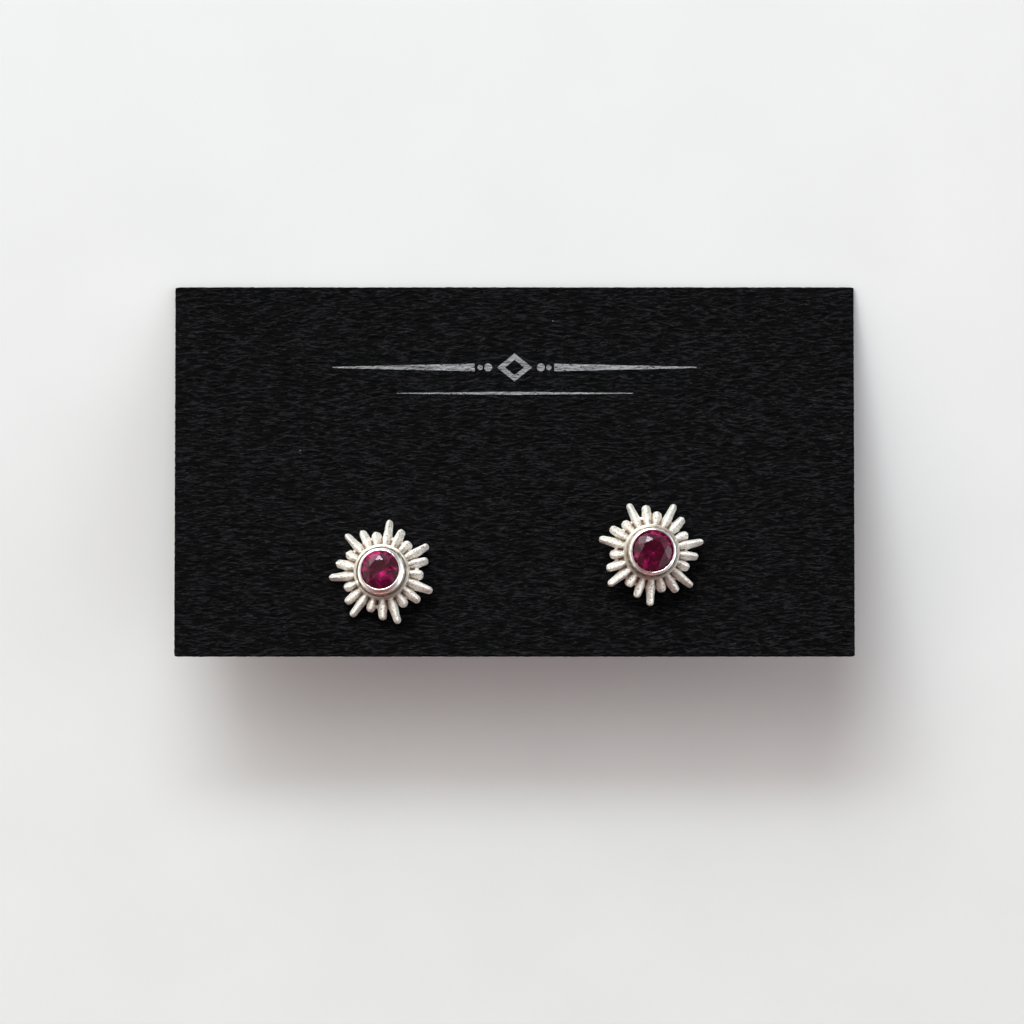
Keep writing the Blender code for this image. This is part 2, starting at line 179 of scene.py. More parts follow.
# %% [markdown]
# ## A bench to work at
#
# Each piece is modelled flat at the origin in millimetres, as on a jeweller's bench, and is then
# carried to its place. Blender's operators act on all that is selected, so the bench tools start by
# deselecting everything, and faces are picked in code by where they are and which way they face.

# %% Selecting and editing one thing
def only(thing):
    bpy.ops.object.select_all(action="DESELECT")
    thing.select_set(True)
    bpy.context.view_layer.objects.active = thing
    return thing


def added(name):
    """The primitive that was just made, under its own name."""
    made = bpy.context.object
    made.name = made.data.name = name
    return only(made)


@contextmanager
def editing(thing, kind="FACE"):
    only(thing)
    bpy.ops.object.mode_set(mode="EDIT")
    bpy.ops.mesh.select_mode(type=kind)
    bpy.ops.mesh.select_all(action="DESELECT")
    yield
    bpy.ops.object.mode_set(mode="OBJECT")


def pick(thing, test):
    """In edit mode, select just the faces whose middle and normal pass the test."""
    bpy.ops.mesh.select_mode(type="FACE")
    bpy.ops.mesh.select_all(action="DESELECT")
    bm = bmesh.from_edit_mesh(thing.data)
    for face in bm.faces:
        if test(face.calc_center_median(), face.normal):
            face.select_set(True)
    bmesh.update_edit_mesh(thing.data)


def pick_edges(thing, test):
    """In edit mode, select just the edges whose two ends pass the test."""
    bpy.ops.mesh.select_mode(type="EDGE")
    bpy.ops.mesh.select_all(action="DESELECT")
    bm = bmesh.from_edit_mesh(thing.data)
    for edge in bm.edges:
        if test(edge.verts[0].co, edge.verts[1].co):
            edge.select_set(True)
    bmesh.update_edit_mesh(thing.data)


def extrude(move):
    bpy.ops.mesh.extrude_region_move(TRANSFORM_OT_translate={"value": move})


def resize(scale, centre=(0, 0, 0)):
    bpy.ops.transform.resize(value=scale, center_override=centre)


# %% Modifiers, and carrying a piece to its place
def finish_with(thing, kind, **settings):
    """Put a modifier on, set it and apply it."""
    only(thing)
    modifier = thing.modifiers.new(kind.lower(), kind)
    for name, value in settings.items():
        setattr(modifier, name, value)
    bpy.ops.object.modifier_apply(modifier=modifier.name)


def noise_texture(name, size, depth=2, contrast=1.0):
    """Soft lumps of about this size, in the units of whatever they displace."""
    texture = bpy.data.textures.new(name, "CLOUDS")
    texture.noise_scale = size
    texture.noise_depth = depth
    texture.contrast = contrast
    return texture


def joined(parts, name):
    only(parts[0])
    for part in parts:
        part.select_set(True)
    bpy.ops.object.join()
    parts[0].name = parts[0].data.name = name
    return parts[0]


def carry(thing, place):
    """Lay a bench piece in its place, with the place in its mesh and its object at the origin."""
    only(thing)
    thing.matrix_world = place
    bpy.ops.object.transform_apply(location=True, rotation=True, scale=True)
    return thing


def facing_out(thing):
    with editing(thing):
        bpy.ops.mesh.select_all(action="SELECT")
        bpy.ops.mesh.remove_doubles(threshold=0.0005)
        bpy.ops.mesh.normals_make_consistent(inside=False)


def triangles(thing):
    thing.data.calc_loop_triangles()
    return len(thing.data.loop_triangles)


def describe(kind, pieces):
    for side, piece in pieces.items():
        print(side, kind, triangles(piece), "triangles, size", [round(v, 2) for v in piece.dimensions])


# %% Round pieces from an outline
def arc(middle, radius, start_deg, stop_deg, steps):
    """Points (out, up) along an arc: 0 degrees is outwards and 90 degrees is upwards."""
    turns = [math.radians(start_deg + (stop_deg - start_deg) * step / steps) for step in range(steps + 1)]
    return [(middle[0] + radius * math.cos(turn), middle[1] + radius * math.sin(turn)) for turn in turns]


def spun(name, outline, steps):
    """A round piece: its outline is drawn point by point and spun about the upright axis."""
    bpy.ops.object.select_all(action="DESELECT")
    bpy.ops.mesh.primitive_plane_add(size=1)
    piece = added(name)
    with editing(piece, "VERT"):
        bpy.ops.mesh.select_all(action="SELECT")
        bpy.ops.mesh.merge(type="CENTER")
        bpy.ops.mesh.select_all(action="SELECT")
        bpy.ops.transform.translate(value=(outline[0][0], 0, outline[0][1]))
        for here, there in zip(outline, outline[1:]):
            extrude((there[0] - here[0], 0, there[1] - here[1]))
        bpy.ops.mesh.select_all(action="SELECT")
        bpy.ops.mesh.spin(steps=steps, angle=2 * math.pi, center=(0, 0, 0), axis=(0, 0, 1))
    facing_out(piece)
    return piece


# %% [markdown]
# ## The rays
#
# Each sun is cast silver: 21 rays in three lengths round a disc. A ray is a bar with a rounded
# top, narrower towards its end, and its root is a wedge that just fills its share of the ring. It
# starts as a block at the sun's rim. Three cuts along it are raised into the rounded top, the
# ridge is bevelled, and then the block's end is drawn out step by step to the rounded tip.

# %% A ray's sizes
RAY_SIDE_HEIGHT = 0.45
RAY_RIDGE_HEIGHT = 1.2
RAY_ROUNDED_TIP = 0.42
RayStep = namedtuple("RayStep", "radius width height")
RAY_STEPS = (
    RayStep(radius=3.30, width=0.97, height=1.00),
    RayStep(radius=3.60, width=1.07, height=1.00),
    RayStep(radius=4.45, width=1.34, height=1.00),
    RayStep(radius=4.95, width=1.20, height=0.99),
    RayStep(radius=5.45, width=1.09, height=0.98),
    RayStep(radius=6.05, width=1.00, height=0.96),
    RayStep(radius=7.05, width=0.86, height=0.90),
)
RAY_TOP = ((-0.52, 0.7), (0.0, 1.0), (0.52, 0.7))
RAY_RIDGE_BEVEL = 0.13
RAY_TIP_TURNS_DEG = (0, 28, 50, 68, 80)
RAY_TIP_LEAST_WIDTH = 0.18
RAY_TIP_END_HEIGHT = 0.62


def ray_width_and_height(radius):
    """How wide and how high any ray is, this far from the sun's middle."""
    radii = [step.radius for step in RAY_STEPS]
    width = np.interp(radius, radii, [step.width for step in RAY_STEPS])
    return width, np.interp(radius, radii, [step.height for step in RAY_STEPS])


# %% One ray
def model_ray(name, reach):
    """A ray along +X, its flat back at height 0."""
    root, first = RAY_STEPS[0], RAY_STEPS[1]
    length = first.radius - root.radius
    bpy.ops.mesh.primitive_cube_add(
        size=1,
        location=(root.radius + length / 2, 0, RAY_SIDE_HEIGHT / 2),
        scale=(length, root.width, RAY_SIDE_HEIGHT),
    )
    ray = added(name)
    bpy.ops.object.transform_apply(location=True, rotation=True, scale=True)
    with editing(ray):
        for share, rise in RAY_TOP:
            y = share * root.width / 2
            bpy.ops.mesh.select_all(action="SELECT")
            bpy.ops.mesh.bisect(plane_co=(0, y, 0), plane_no=(0, 1, 0))
            pick_edges(ray, lambda a, b: max(abs(a.y - y), abs(b.y - y)) < 0.01 and min(a.z, b.z) > 0.1)
            bpy.ops.transform.translate(value=(0, 0, rise * (RAY_RIDGE_HEIGHT - RAY_SIDE_HEIGHT)))
        pick_edges(ray, lambda a, b: max(abs(a.y), abs(b.y)) < 0.01 and min(a.z, b.z) > RAY_SIDE_HEIGHT)
        bpy.ops.mesh.bevel(offset=RAY_RIDGE_BEVEL, segments=3, affect="EDGES")
        pick(ray, lambda middle, normal: normal.x > 0.9)
        width, height, at = root.width, root.height, first.radius
        for radius in ray_stops(reach):
            next_width, next_height = ray_end_shape(radius, reach)
            if radius > at:
                extrude((radius - at, 0, 0))
            resize((1, next_width / width, next_height / height), (radius, 0, 0))
            width, height, at = next_width, next_height, radius
    return ray


def ray_stops(reach):
    """Distances from the sun's middle at which a ray's end is drawn out to a new shape."""
    round_from = reach - RAY_ROUNDED_TIP
    straight = [step.radius for step in RAY_STEPS[1:] if step.radius < round_from - 0.1]
    tip = [round_from + RAY_ROUNDED_TIP * math.sin(math.radians(turn)) for turn in RAY_TIP_TURNS_DEG]
    return straight + tip


def ray_end_shape(radius, reach):
    """Width and height at this stop, with the rounded tip's narrowing worked in."""
    width, height = ray_width_and_height(min(radius, reach - RAY_ROUNDED_TIP))
    into_tip = max(0.0, (radius - reach + RAY_ROUNDED_TIP) / RAY_ROUNDED_TIP)
    narrowed = math.sqrt(max(0.0, 1 - into_tip**2))
    lowered = RAY_TIP_END_HEIGHT + (1 - RAY_TIP_END_HEIGHT) * narrowed
    return width * max(narrowed, RAY_TIP_LEAST_WIDTH), height * lowered


bpy.ops.object.select_all(action="DESELECT")
reaches = sorted({round(float(ray.reach), 1) for ray in studs[0].rays})
patterns = {reach: model_ray(f"ray_{reach}", reach) for reach in reaches}
print("three lengths of ray:", reaches, "mm, of", [triangles(ray) for ray in patterns.values()], "triangles")


# %% [markdown]
# ## The cast sun
#
# On the real stud the rays and the disc are one casting, so their roots run into each other and
# every corner is soft. Here the rays are copied round a disc, each a little different, as hand-worked
# wax is, and a voxel remesh melts them into one skin. Smoothing takes off what the voxels leave,
# and a fine displacement gives the metal the sandy skin of a casting mould.

# %% Sizes of the disc and of the casting's skin
DISC_RADIUS = 3.66
DISC_THICKNESS = 1.04
VOXEL = 0.072
SKIN_GRAIN = 0.19
SKIN_DEPTH = 0.04
SKIN_WAVE = 0.9
SKIN_WAVE_DEPTH = 0.05
WEB_RADIUS = 4.5
WEB_LEVEL = 0.45
WEB_SIZE = 0.3
WEB_SHARE = 0.6

# The seat that is sunk into the disc for the stone's cup
BEZEL_FOOT_RADIUS = 3.24
BEZEL_FOOT_LEVEL = 0.95
SEAT_BOTTOM_RADIUS = 0.8
SEAT_BOTTOM_LEVEL = 0.3
SEAT_CLEARANCE = 0.03


def placed_ray(stud, number, ray, chance):
    """A copy of the pattern for this length, turned to its place, with a slightly different shape."""
    nearest = min(patterns, key=lambda reach: abs(reach - ray.reach))
    made = patterns[nearest].copy()
    made.data = patterns[nearest].data.copy()
    bpy.context.scene.collection.objects.link(made)
    wider, higher = chance.uniform(0.95, 1.06), chance.uniform(0.96, 1.04)
    made.matrix_world = Matrix.Rotation(ray.turn, 4, "Z") @ Matrix.Diagonal((1, wider, higher, 1))
    made.name = f"{stud.side}_ray_{number}"
    return made


def placed_web(number, turn, chance):
    """A drop of metal left between two rays, where the wax was not cleaned out."""
    bpy.ops.mesh.primitive_ico_sphere_add(
        subdivisions=3,
        radius=WEB_SIZE * chance.uniform(0.8, 1.15),
        location=(WEB_RADIUS * math.cos(turn), WEB_RADIUS * math.sin(turn), WEB_LEVEL),
    )
    return added(f"web_{number}")


# %% Cast one sun
def cast_sun(stud, seed):
    chance = random.Random(seed)
    bpy.ops.object.select_all(action="DESELECT")
    bpy.ops.mesh.primitive_cylinder_add(
        vertices=128, radius=DISC_RADIUS, depth=DISC_THICKNESS, location=(0, 0, DISC_THICKNESS / 2)
    )
    parts = [added(stud.side + "_disc")]
    parts += [placed_ray(stud, number, ray, chance) for number, ray in enumerate(stud.rays)]
    for number, ray in enumerate(stud.rays):
        last = stud.rays[number - 1]
        if chance.random() < WEB_SHARE and abs(ray.turn - last.turn) < 2 * RAY_PITCH:
            parts.append(placed_web(number, (ray.turn + last.turn) / 2, chance))
    sun = joined(parts, stud.side + "_sun")
    finish_with(sun, "REMESH", mode="VOXEL", voxel_size=VOXEL)
    finish_with(sun, "SMOOTH", factor=0.5, iterations=2)
    wave = noise_texture("casting_wave", SKIN_WAVE)
    grain = noise_texture("casting_grain", SKIN_GRAIN, depth=3)
    finish_with(sun, "DISPLACE", texture=wave, strength=SKIN_WAVE_DEPTH, mid_level=0.5)
    finish_with(sun, "DISPLACE", texture=grain, strength=SKIN_DEPTH, mid_level=0.5)
    sink_seat(sun)
    bpy.ops.object.shade_smooth()
    return sun


def sink_seat(sun):
    """Cut the shallow cone that the stone's cup sits in."""
    slope = (BEZEL_FOOT_RADIUS - SEAT_BOTTOM_RADIUS) / (BEZEL_FOOT_LEVEL - SEAT_BOTTOM_LEVEL)
    depth = DISC_THICKNESS - SEAT_BOTTOM_LEVEL + 0.3
    bpy.ops.object.select_all(action="DESELECT")
    bpy.ops.mesh.primitive_cone_add(
        vertices=96,
        radius1=SEAT_BOTTOM_RADIUS,
        radius2=SEAT_BOTTOM_RADIUS + slope * depth,
        depth=depth,
        location=(0, 0, SEAT_BOTTOM_LEVEL - SEAT_CLEARANCE + depth / 2),
    )
    cutter = added("seat_cutter")
    finish_with(sun, "BOOLEAN", object=cutter, operation="DIFFERENCE", solver="MANIFOLD")
    bpy.data.objects.remove(cutter)
    only(sun)


suns = {stud.side: cast_sun(stud, seed) for seed, stud in enumerate(studs, start=11)}
describe("sun", suns)
for pattern in patterns.values():
    bpy.data.objects.remove(pattern)


# %% [markdown]
# ## Painted shade in the hollows
#
# The material paints shade into the valleys between the rays: there the silver is made darker and
# browner than on the ridges. That pattern follows the shape, so it is measured on the mesh: a point
# that lies below the average of its neighbours is in a hollow. The measure is smoothed over the mesh
# and kept as an attribute that the material reads.

# %% Measure the hollows
def mark_hollows(thing, rounds=14, deepest=0.035):
    """Write the attribute hollow: 0 on ridges and open flats, up to 1 deep in a valley."""
    mesh = thing.data
    count = len(mesh.vertices)
    ends = np.empty(2 * len(mesh.edges), np.int64)
    mesh.edges.foreach_get("vertices", ends)
    starts, stops = ends[::2], ends[1::2]
    degree = np.bincount(ends, minlength=count)[:, None]
    points, normals = np.empty(3 * count), np.empty(3 * count)
    mesh.vertices.foreach_get("co", points)
    mesh.vertices.foreach_get("normal", normals)
    points, normals = points.reshape(-1, 3), normals.reshape(-1, 3)

    def neighbour_mean(values):
        total = np.zeros_like(values)
        np.add.at(total, starts, values[stops])
        np.add.at(total, stops, values[starts])
        return total / degree

    spread = points.copy()
    for _ in range(rounds):
        spread = neighbour_mean(spread)
    depth = np.sum((spread - points) * normals, axis=1, keepdims=True)
    for _ in range(3):
        depth = neighbour_mean(depth)
    hollow = np.clip(depth.ravel() / deepest, 0, 1)
    layer = mesh.attributes.new("hollow", "FLOAT", "POINT")
    layer.data.foreach_set("value", hollow.astype(np.float32))
    return float(hollow.mean())


for side, sun in suns.items():
    print(side, "sun is", round(100 * mark_hollows(sun)), "% hollow")


# %% [markdown]
# ## The bezel and the collar
#
# The stone sits in a cup of sheet silver whose upper edge is rubbed down over the stone all round.
# That edge, the lip, is a round bead, bright from the burnisher and never quite even. Below it the
# cup's wall slopes away and then drops. A ring of round wire, the collar, is soldered round the
# foot of the cup and hides the seam. Both are round pieces, so each is drawn as an outline, half
# of its cut face, and spun.

# %% The bezel
LIP_BEAD_RADIUS = 0.125
LIP_BEAD_OUT = 0.05
SLOPE_TOP_DEG, SLOPE_END_DEG = 62, 36
WALL_TOP_RADIUS = 0.2
WALL_LEAN = 0.12
CUP_CLEARANCE = 0.05
CUP_FLOOR = 0.42
CUP_FLOOR_RADIUS = 0.5
ROUND_STEPS = 144


def bezel_outline(stud):
    """From the axis under the cup, up the wall, over the lip and down inside to the axis."""
    stone, top = stud.stone_radius, stud.lip_top
    bead = (stone + LIP_BEAD_OUT, top - LIP_BEAD_RADIUS)
    slope_from = stone + LIP_BEAD_OUT + LIP_BEAD_RADIUS
    turned_in = WALL_TOP_RADIUS * (1 - math.cos(math.radians(SLOPE_END_DEG)))
    span = BEZEL_FOOT_RADIUS - WALL_LEAN - turned_in - slope_from
    share = math.cos(math.radians(SLOPE_END_DEG)) - math.cos(math.radians(SLOPE_TOP_DEG))
    slope = span / share
    middle = (
        slope_from - slope * math.cos(math.radians(SLOPE_TOP_DEG)),
        top - LIP_BEAD_RADIUS - 0.03 - slope * math.sin(math.radians(SLOPE_TOP_DEG)),
    )
    slope_arc = arc(middle, slope, SLOPE_END_DEG, SLOPE_TOP_DEG, 6)
    low = slope_arc[0]
    into_wall = (
        low[0] - WALL_TOP_RADIUS * math.cos(math.radians(SLOPE_END_DEG)),
        low[1] - WALL_TOP_RADIUS * math.sin(math.radians(SLOPE_END_DEG)),
    )
    wall_arc = arc(into_wall, WALL_TOP_RADIUS, 4, SLOPE_END_DEG, 4)[:-1]
    foot = (BEZEL_FOOT_RADIUS, BEZEL_FOOT_LEVEL)
    wall = [
        tuple(a + (b - a) * step / 6 for a, b in zip(foot, wall_arc[0])) for step in range(6)
    ]
    inside = stone + CUP_CLEARANCE
    return (
        [(0, SEAT_BOTTOM_LEVEL), (SEAT_BOTTOM_RADIUS, SEAT_BOTTOM_LEVEL)]
        + wall
        + wall_arc
        + slope_arc
        + arc(bead, LIP_BEAD_RADIUS, -8, 170, 12)
        + [(inside, top - 0.23), (inside, top - 0.55), (CUP_FLOOR_RADIUS, CUP_FLOOR), (0, CUP_FLOOR)]
    )


def model_bezel(stud):
    bezel = spun(stud.side + "_bezel", bezel_outline(stud), ROUND_STEPS)
    hand_rubbed = noise_texture("hand_rubbed", 1.1, depth=1)
    finish_with(bezel, "DISPLACE", texture=hand_rubbed, strength=0.06, mid_level=0.5)
    bpy.ops.object.shade_smooth_by_angle(angle=math.radians(50))
    return bezel


bezels = {stud.side: model_bezel(stud) for stud in studs}
describe("bezel", bezels)

# %% The collar
COLLAR_RADIUS = 3.46
COLLAR_WIRE_RADIUS = 0.2
COLLAR_LEVEL = 1.14
SOLDER_JOINT_TURN_DEG = {"left": 207, "right": 20}
SOLDER_JOINT_HALF_DEG = 4


def model_collar(stud):
    wire = arc((COLLAR_RADIUS, COLLAR_LEVEL), COLLAR_WIRE_RADIUS, 0, 360, 20)
    collar = spun(stud.side + "_collar", wire, 180)
    joint = math.radians(SOLDER_JOINT_TURN_DEG[stud.side])
    ahead = Vector((math.cos(joint), math.sin(joint), 0))
    least = math.cos(math.radians(SOLDER_JOINT_HALF_DEG))
    with editing(collar):
        pick(collar, lambda middle, normal: Vector((middle.x, middle.y, 0)).normalized().dot(ahead) > least)
        spot = ahead * COLLAR_RADIUS + UPRIGHT * COLLAR_LEVEL
        resize((1.2, 1.2, 1.25), spot)
    finish_with(collar, "DISPLACE", texture=bpy.data.textures["hand_rubbed"], strength=0.06, mid_level=0.5)
    bpy.ops.object.shade_smooth()
    return collar


collars = {stud.side: model_collar(stud) for stud in studs}
describe("collar", collars)


# %% [markdown]
# ## The post
#
# The post that goes through the ear, and here through the card, is hard-drawn wire, soldered to
# the sun's back. Solder runs up in a small hollow cone where they meet, and the tip is rounded so
# that it does not scratch. It is one more outline to spin.

# %% The posts
POST_RADIUS = 0.42
SOLDER_ROUNDING = 0.26
POST_INTO_SUN = 0.15
TIP_CLEARANCE = 0.02


def model_post(stud):
    tip = stud.tip_level + TIP_CLEARANCE
    outline = (
        arc((0, tip + POST_RADIUS), POST_RADIUS, -90, 0, 9)
        + arc((POST_RADIUS + SOLDER_ROUNDING, -SOLDER_ROUNDING), SOLDER_ROUNDING, 180, 90, 6)
        + [(POST_RADIUS + SOLDER_ROUNDING, POST_INTO_SUN), (0, POST_INTO_SUN)]
    )
    post = spun(stud.side + "_post", outline, 40)
    bpy.ops.object.shade_smooth_by_angle(angle=math.radians(50))
    return post


posts = {stud.side: model_post(stud) for stud in studs}
describe("post", posts)


# %% [markdown]
# ## The clutches
#
# A butterfly clutch is a strip of spring metal with a hole in its middle and its two ends rolled
# in until they grip the post. The strip starts as a plane for the middle. Its two end edges are
# spun round to make the rolls, a solidify modifier gives it the sheet's thickness, and a bevel
# takes the sharpness off the stamped edges, so light catches them.

# %% A clutch's sizes and place
CLUTCH_SHEET = 0.28
CLUTCH_ROLL_RADIUS = 1.0
CLUTCH_HOLE_RADIUS = 0.48
ROLL_SPAN = 1.5 * math.pi
ROLL_STEPS = 22


def read_clutch(stud):
    """Half the length of a clutch's flat middle, its width and the level of its top."""
    inverse = np.array(stud.place.inverted())
    points = points_of(stud.side + "_clutch") * MM
    flat = points @ inverse[:3, :3].T + inverse[:3, 3]
    long, wide, _ = np.ptp(flat, axis=0)
    return long / 2 - CLUTCH_ROLL_RADIUS - CLUTCH_SHEET / 2, wide, flat[:, 2].max()


# %% Roll one clutch
def model_clutch(stud):
    flat_half, wide, top = read_clutch(stud)
    level = top - CLUTCH_SHEET / 2
    bpy.ops.object.select_all(action="DESELECT")
    bpy.ops.mesh.primitive_plane_add(size=1, location=(0, 0, level))
    clutch = added(stud.side + "_butterfly")
    clutch.scale = (2 * flat_half, wide, 1)
    bpy.ops.object.transform_apply(location=True, rotation=True, scale=True)
    with editing(clutch):
        for way in (1, -1):
            pick_edges(clutch, lambda a, b: min(way * a.x, way * b.x) > flat_half - 0.01
                       and max(a.z, b.z) > level - 0.01)
            bpy.ops.mesh.spin(
                steps=ROLL_STEPS,
                angle=way * ROLL_SPAN,
                center=(way * flat_half, 0, level - CLUTCH_ROLL_RADIUS),
                axis=(0, 1, 0),
            )
    facing_out(clutch)
    finish_with(clutch, "SOLIDIFY", thickness=CLUTCH_SHEET, offset=0)
    bpy.ops.object.select_all(action="DESELECT")
    bpy.ops.mesh.primitive_cylinder_add(
        vertices=40, radius=CLUTCH_HOLE_RADIUS, depth=3 * CLUTCH_SHEET, location=(0, 0, level)
    )
    drill = added("clutch_drill")
    finish_with(clutch, "BOOLEAN", object=drill, operation="DIFFERENCE", solver="EXACT")
    bpy.data.objects.remove(drill)
    finish_with(clutch, "BEVEL", width=0.05, segments=2, limit_method="ANGLE", angle_limit=math.radians(50))
    bpy.ops.object.shade_smooth_by_angle(angle=math.radians(50))
    return clutch


clutches = {stud.side: model_clutch(stud) for stud in studs}
describe("clutch", clutches)


# %% Carry the silver to its place
for stud in studs:
    for made in (suns, bezels, collars, posts, clutches):
        carry(made[stud.side], stud.place)
    print(stud.side, "stud carried to", [round(v / MM, 2) for v in stud.place.translation], "mm")


# %% [markdown]
# ## The card
#
# The card is board with a felted face: short fibres pressed flat, most of them lying along the
# card, so that light raking over it shows low wavy ridges. Its edges were cut with a blade, which
# left them a little uneven. It starts as a fine grid. The grid's edge is drawn down to give the
# board its thickness, two displacements shape the ridges and lumps of its face, a third one eats
# into the cut, and the two holes for the posts are punched last.

# %% The felted face
CELL_ACROSS = 0.44
CELL_ALONG = 0.152
RIDGE_WIDTH = 0.62
RIDGE_STRETCH = 2.3
RIDGE_HEIGHT = 0.2
LUMP_SIZE = 2.2
LUMP_HEIGHT = 0.08
CORNER_PULL = 0.1
EDGE_RELIEF = 0.4
EDGE_FADE = 0.8
RIM_REACH = 0.01
CUT_DEPTH = 0.12


def stretched_guide(name, stretch, turn_deg):
    """An empty whose axes a displacement reads its noise in, longer across than along."""
    guide = bpy.data.objects.new(name, None)
    bpy.context.scene.collection.objects.link(guide)
    guide.scale = (stretch, 1, 1)
    guide.rotation_euler = (0, 0, math.radians(turn_deg))
    return guide


def model_card_face():
    bpy.ops.object.select_all(action="DESELECT")
    bpy.ops.mesh.primitive_grid_add(
        x_subdivisions=round(card.width / CELL_ACROSS),
        y_subdivisions=round(card.height / CELL_ALONG),
        size=1,
        location=(0, -card.height / 2, card.thickness),
    )
    face = added("felted_card")
    face.scale = (card.width, card.height, 1)
    bpy.ops.object.transform_apply(location=True, rotation=True, scale=True)
    return face


# %% Draw the edge down and close the back
def thicken_card(face):
    half = card.width / 2
    inner = face.vertex_groups.new(name="face")
    rim = face.vertex_groups.new(name="rim")
    for vertex in face.data.vertices:
        edge = min(half - abs(vertex.co.x), -vertex.co.y, card.height + vertex.co.y)
        inner.add([vertex.index], min(1.0, EDGE_RELIEF + edge / EDGE_FADE), "REPLACE")
        rim.add([vertex.index], 1.0 if edge < RIM_REACH else 0.0, "REPLACE")
        side, end = half - abs(vertex.co.x), min(-vertex.co.y, card.height + vertex.co.y)
        if max(side, end) < RIM_REACH:
            vertex.co.x -= math.copysign(CORNER_PULL, vertex.co.x)
            vertex.co.y += math.copysign(CORNER_PULL, vertex.co.y + card.height / 2) * -1
    with editing(face, "EDGE"):
        bpy.ops.mesh.select_non_manifold()
        for _ in range(2):
            extrude((0, 0, -card.thickness / 2))
        bpy.ops.mesh.edge_face_add()
        bpy.ops.mesh.select_all(action="SELECT")
        bpy.ops.mesh.normals_make_consistent(inside=False)
    below = [vertex.index for vertex in face.data.vertices if vertex.co.z < card.thickness - RIM_REACH]
    inner.remove(below)


board = model_card_face()
thicken_card(board)
print("card blank", triangles(board), "triangles, size", [round(v, 2) for v in board.dimensions])

# %% Raise the felt
long_fibres = stretched_guide("long_fibres", RIDGE_STRETCH, -3)
ridges = bpy.data.textures.new("felt_ridges", "MUSGRAVE")
ridges.musgrave_type = "RIDGED_MULTIFRACTAL"
ridges.noise_scale = RIDGE_WIDTH
ridges.octaves = 2.5
ridges.dimension_max = 0.9
ridges.lacunarity = 2.1
finish_with(
    board,
    "DISPLACE",
    texture=ridges,
    texture_coords="OBJECT",
    texture_coords_object=long_fibres,
    direction="Z",
    strength=RIDGE_HEIGHT,
    mid_level=0.9,
    vertex_group="face",
)
finish_with(
    board,
    "DISPLACE",
    texture=noise_texture("felt_lumps", LUMP_SIZE, depth=2),
    direction="Z",
    strength=LUMP_HEIGHT,
    mid_level=0.9,
    vertex_group="face",
)
finish_with(
    board,
    "DISPLACE",
    texture=noise_texture("cut_fibres", 0.5, depth=3, contrast=1.6),
    strength=CUT_DEPTH,
    mid_level=1.1,
    vertex_group="rim",
)
bpy.data.objects.remove(long_fibres)
print("felted card now", [round(v, 2) for v in board.dimensions], "mm")

# %% Punch the holes for the posts
HOLE_RADIUS = 0.55
for stud in studs:
    bpy.ops.object.select_all(action="DESELECT")
    bpy.ops.mesh.primitive_cylinder_add(vertices=40, radius=HOLE_RADIUS, depth=9)
    punch = added(stud.side + "_punch")
    punch.matrix_world = card.place.inverted() @ stud.place
    finish_with(board, "BOOLEAN", object=punch, operation="DIFFERENCE", solver="MANIFOLD")
    bpy.data.objects.remove(punch)
only(board)
bpy.ops.object.shade_smooth_by_angle(angle=math.radians(60))
carry(board, card.place)
print("punched card", triangles(board), "triangles")


# %% [markdown]
# ## Finishes: the parts that materials share
#
# A node group is a small tool that several materials use with their own settings. Two are enough
# here. One gives the fine scratches and the cloudy dullness that any handled silver has. The other
# lays short crossing strokes, most of them along the card. The board's felt, its single fibres and
# the ink on them all need those.

# %% Placing and joining nodes
def place_node(tree, kind, values=None, **settings):
    made = tree.nodes.new(kind)
    for name, value in settings.items():
        setattr(made, name, value)
    for name, value in (values or {}).items():
        made.inputs[name].default_value = value
    return made


def new_material(name, constants):
    """A material, its tree and its shader, with the shader's constants set."""
    made = bpy.data.materials.new(name)
    made.use_nodes = True
    shader = made.node_tree.nodes["Principled BSDF"]
    for label, value in constants.items():
        shader.inputs[label].default_value = value
    return made, made.node_tree, shader


def math_node(tree, operation, first, second=None, third=None):
    """A Math node whose inputs are numbers or other nodes' outputs."""
    made = tree.nodes.new("ShaderNodeMath")
    made.operation = operation
    for socket, value in zip(made.inputs, (first, second, third)):
        if value is None:
            continue
        if isinstance(value, bpy.types.NodeSocket):
            tree.links.new(value, socket)
        else:
            socket.default_value = value
    return made.outputs[0]


def highest_of(tree, values):
    top = values[0]
    for value in values[1:]:
        top = math_node(tree, "MAXIMUM", top, value)
    return top


def all_of(tree, masks):
    """1 where every mask is 1."""
    both = masks[0]
    for mask in masks[1:]:
        both = math_node(tree, "MULTIPLY", both, mask)
    return both


def spread_node(tree, value, low, high, to_low=0.0, to_high=1.0):
    """Map a value from one range to another, and hold it there."""
    made = place_node(tree, "ShaderNodeMapRange")
    for name, setting in (("From Min", low), ("From Max", high), ("To Min", to_low), ("To Max", to_high)):
        if isinstance(setting, bpy.types.NodeSocket):
            tree.links.new(setting, made.inputs[name])
        else:
            made.inputs[name].default_value = setting
    tree.links.new(value, made.inputs["Value"])
    return made.outputs["Result"]


def mix_colours(tree, mask, first, second):
    made = tree.nodes.new("ShaderNodeMix")
    made.data_type = "RGBA"
    tree.links.new(mask, made.inputs[0])
    for socket, value in ((made.inputs[6], first), (made.inputs[7], second)):
        if isinstance(value, bpy.types.NodeSocket):
            tree.links.new(value, socket)
        else:
            socket.default_value = (*value, 1)
    return made.outputs[2]


